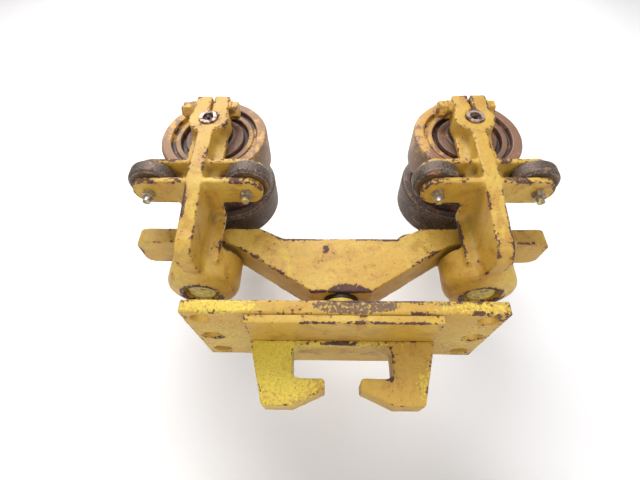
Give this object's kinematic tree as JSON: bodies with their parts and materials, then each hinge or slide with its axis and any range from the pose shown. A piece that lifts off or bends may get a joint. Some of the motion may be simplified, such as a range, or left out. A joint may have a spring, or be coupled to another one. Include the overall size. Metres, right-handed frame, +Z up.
{
  "type": "beam trolley",
  "caption": "Swivelling yoke beam trolley with side guide rollers, a cranked load beam and a swivelling hanger with a C-shaped hook plate.",
  "frame": {"origin": "midway between the two yokes, on the plane where the wheel treads stand on the rail's bottom flange", "axes": "+X along the rail, +Y across the rail, +Z up as the trolley hangs"},
  "size_m": [0.569, 0.235, 0.4345],
  "materials": {
    "worn_paint": "worn",
    "lemon_paint": "worn",
    "rusty_wheel": "rusty with paint overspray",
    "dark_roller": "polished dark steel",
    "bare_steel": "oiled",
    "greasy_steel": "greasy",
    "bronze": "oiled",
    "black_seal": "greasy",
    "plated_steel": "plated, part painted"
  },
  "bodies": {
    "load_beam": {"load_beam": "worn_paint", "kingpins": "bare_steel", "kingpin_nuts": "bare_steel", "kingpin_washers": "greasy_steel", "thrust_washers": "greasy_steel", "center_bush": "bronze", "swivel_washers": "greasy_steel"},
    "hanger": {"hanger_plate": "worn_paint", "pad_plate": "worn_paint", "hook_plate": "lemon_paint", "swivel_stud": "bare_steel", "spacer_collar": "lemon_paint", "swivel_nut": "bare_steel"},
    "yoke_left": {"yoke_left": "worn_paint", "king_bush_left": "bronze", "thrust_ring_left": "greasy_steel", "stub_axles_left": "bare_steel", "axle_locknuts_left": "greasy_steel", "bearing_races_left": "bare_steel", "grease_fittings_left": "bare_steel", "clamp_bolts_left": "worn_paint", "clamp_nuts_left": "worn_paint", "clamp_washers_left": "worn_paint", "roller_bolts_left": "plated_steel", "roller_nuts_left": "plated_steel", "roller_sleeves_left": "bronze"},
    "yoke_right": {"yoke_right": "worn_paint", "king_bush_right": "bronze", "thrust_ring_right": "greasy_steel", "stub_axles_right": "bare_steel", "axle_locknuts_right": "greasy_steel", "bearing_races_right": "bare_steel", "grease_fittings_right": "bare_steel", "clamp_bolts_right": "worn_paint", "clamp_nuts_right": "worn_paint", "clamp_washers_right": "worn_paint", "roller_bolts_right": "plated_steel", "roller_nuts_right": "plated_steel", "roller_sleeves_right": "bronze"},
    "wheel_front_left": {"wheel_front_left": "rusty_wheel", "wheel_bearings_front_left": "bare_steel", "hub_covers_front_left": "black_seal"},
    "wheel_back_left": {"wheel_back_left": "rusty_wheel", "wheel_bearings_back_left": "bare_steel", "hub_covers_back_left": "black_seal"},
    "wheel_front_right": {"wheel_front_right": "rusty_wheel", "wheel_bearings_front_right": "bare_steel", "hub_covers_front_right": "black_seal"},
    "wheel_back_right": {"wheel_back_right": "rusty_wheel", "wheel_bearings_back_right": "bare_steel", "hub_covers_back_right": "black_seal"},
    "roller_1": {"roller_1": "dark_roller"},
    "roller_2": {"roller_2": "dark_roller"},
    "roller_3": {"roller_3": "dark_roller"},
    "roller_4": {"roller_4": "dark_roller"},
    "roller_5": {"roller_5": "dark_roller"},
    "roller_6": {"roller_6": "dark_roller"},
    "roller_7": {"roller_7": "dark_roller"},
    "roller_8": {"roller_8": "dark_roller"}
  },
  "joints": [
    {"name": "hanger_swivel", "type": "hinge", "parent": "load_beam", "child": "hanger", "pos_m": [0, 0, -0.128], "axis": [0, 0, 1], "continuous": true},
    {"name": "yoke_left_swivel", "type": "hinge", "parent": "load_beam", "child": "yoke_left", "pos_m": [-0.185, 0, -0.1065], "axis": [0, 0, 1], "range_deg": [-12, 12]},
    {"name": "yoke_right_swivel", "type": "hinge", "parent": "load_beam", "child": "yoke_right", "pos_m": [0.185, 0, -0.1065], "axis": [0, 0, 1], "range_deg": [-12, 12]},
    {"name": "wheel_front_left_spin", "type": "hinge", "parent": "yoke_left", "child": "wheel_front_left", "pos_m": [-0.185, -0.051, 0.0775], "axis": [0, 1, 0], "continuous": true},
    {"name": "wheel_back_left_spin", "type": "hinge", "parent": "yoke_left", "child": "wheel_back_left", "pos_m": [-0.185, 0.051, 0.0775], "axis": [0, 1, 0], "continuous": true},
    {"name": "wheel_front_right_spin", "type": "hinge", "parent": "yoke_right", "child": "wheel_front_right", "pos_m": [0.185, -0.051, 0.0775], "axis": [0, 1, 0], "continuous": true},
    {"name": "wheel_back_right_spin", "type": "hinge", "parent": "yoke_right", "child": "wheel_back_right", "pos_m": [0.185, 0.051, 0.0775], "axis": [0, 1, 0], "continuous": true},
    {"name": "roller_1_spin", "type": "hinge", "parent": "yoke_left", "child": "roller_1", "pos_m": [-0.248, -0.0875, -0.017], "axis": [0, 0, 1], "continuous": true},
    {"name": "roller_2_spin", "type": "hinge", "parent": "yoke_left", "child": "roller_2", "pos_m": [-0.122, -0.0875, -0.017], "axis": [0, 0, 1], "continuous": true},
    {"name": "roller_3_spin", "type": "hinge", "parent": "yoke_left", "child": "roller_3", "pos_m": [-0.248, 0.0875, -0.017], "axis": [0, 0, 1], "continuous": true},
    {"name": "roller_4_spin", "type": "hinge", "parent": "yoke_left", "child": "roller_4", "pos_m": [-0.122, 0.0875, -0.017], "axis": [0, 0, 1], "continuous": true},
    {"name": "roller_5_spin", "type": "hinge", "parent": "yoke_right", "child": "roller_5", "pos_m": [0.122, -0.0875, -0.017], "axis": [0, 0, 1], "continuous": true},
    {"name": "roller_6_spin", "type": "hinge", "parent": "yoke_right", "child": "roller_6", "pos_m": [0.248, -0.0875, -0.017], "axis": [0, 0, 1], "continuous": true},
    {"name": "roller_7_spin", "type": "hinge", "parent": "yoke_right", "child": "roller_7", "pos_m": [0.122, 0.0875, -0.017], "axis": [0, 0, 1], "continuous": true},
    {"name": "roller_8_spin", "type": "hinge", "parent": "yoke_right", "child": "roller_8", "pos_m": [0.248, 0.0875, -0.017], "axis": [0, 0, 1], "continuous": true}
  ]
}
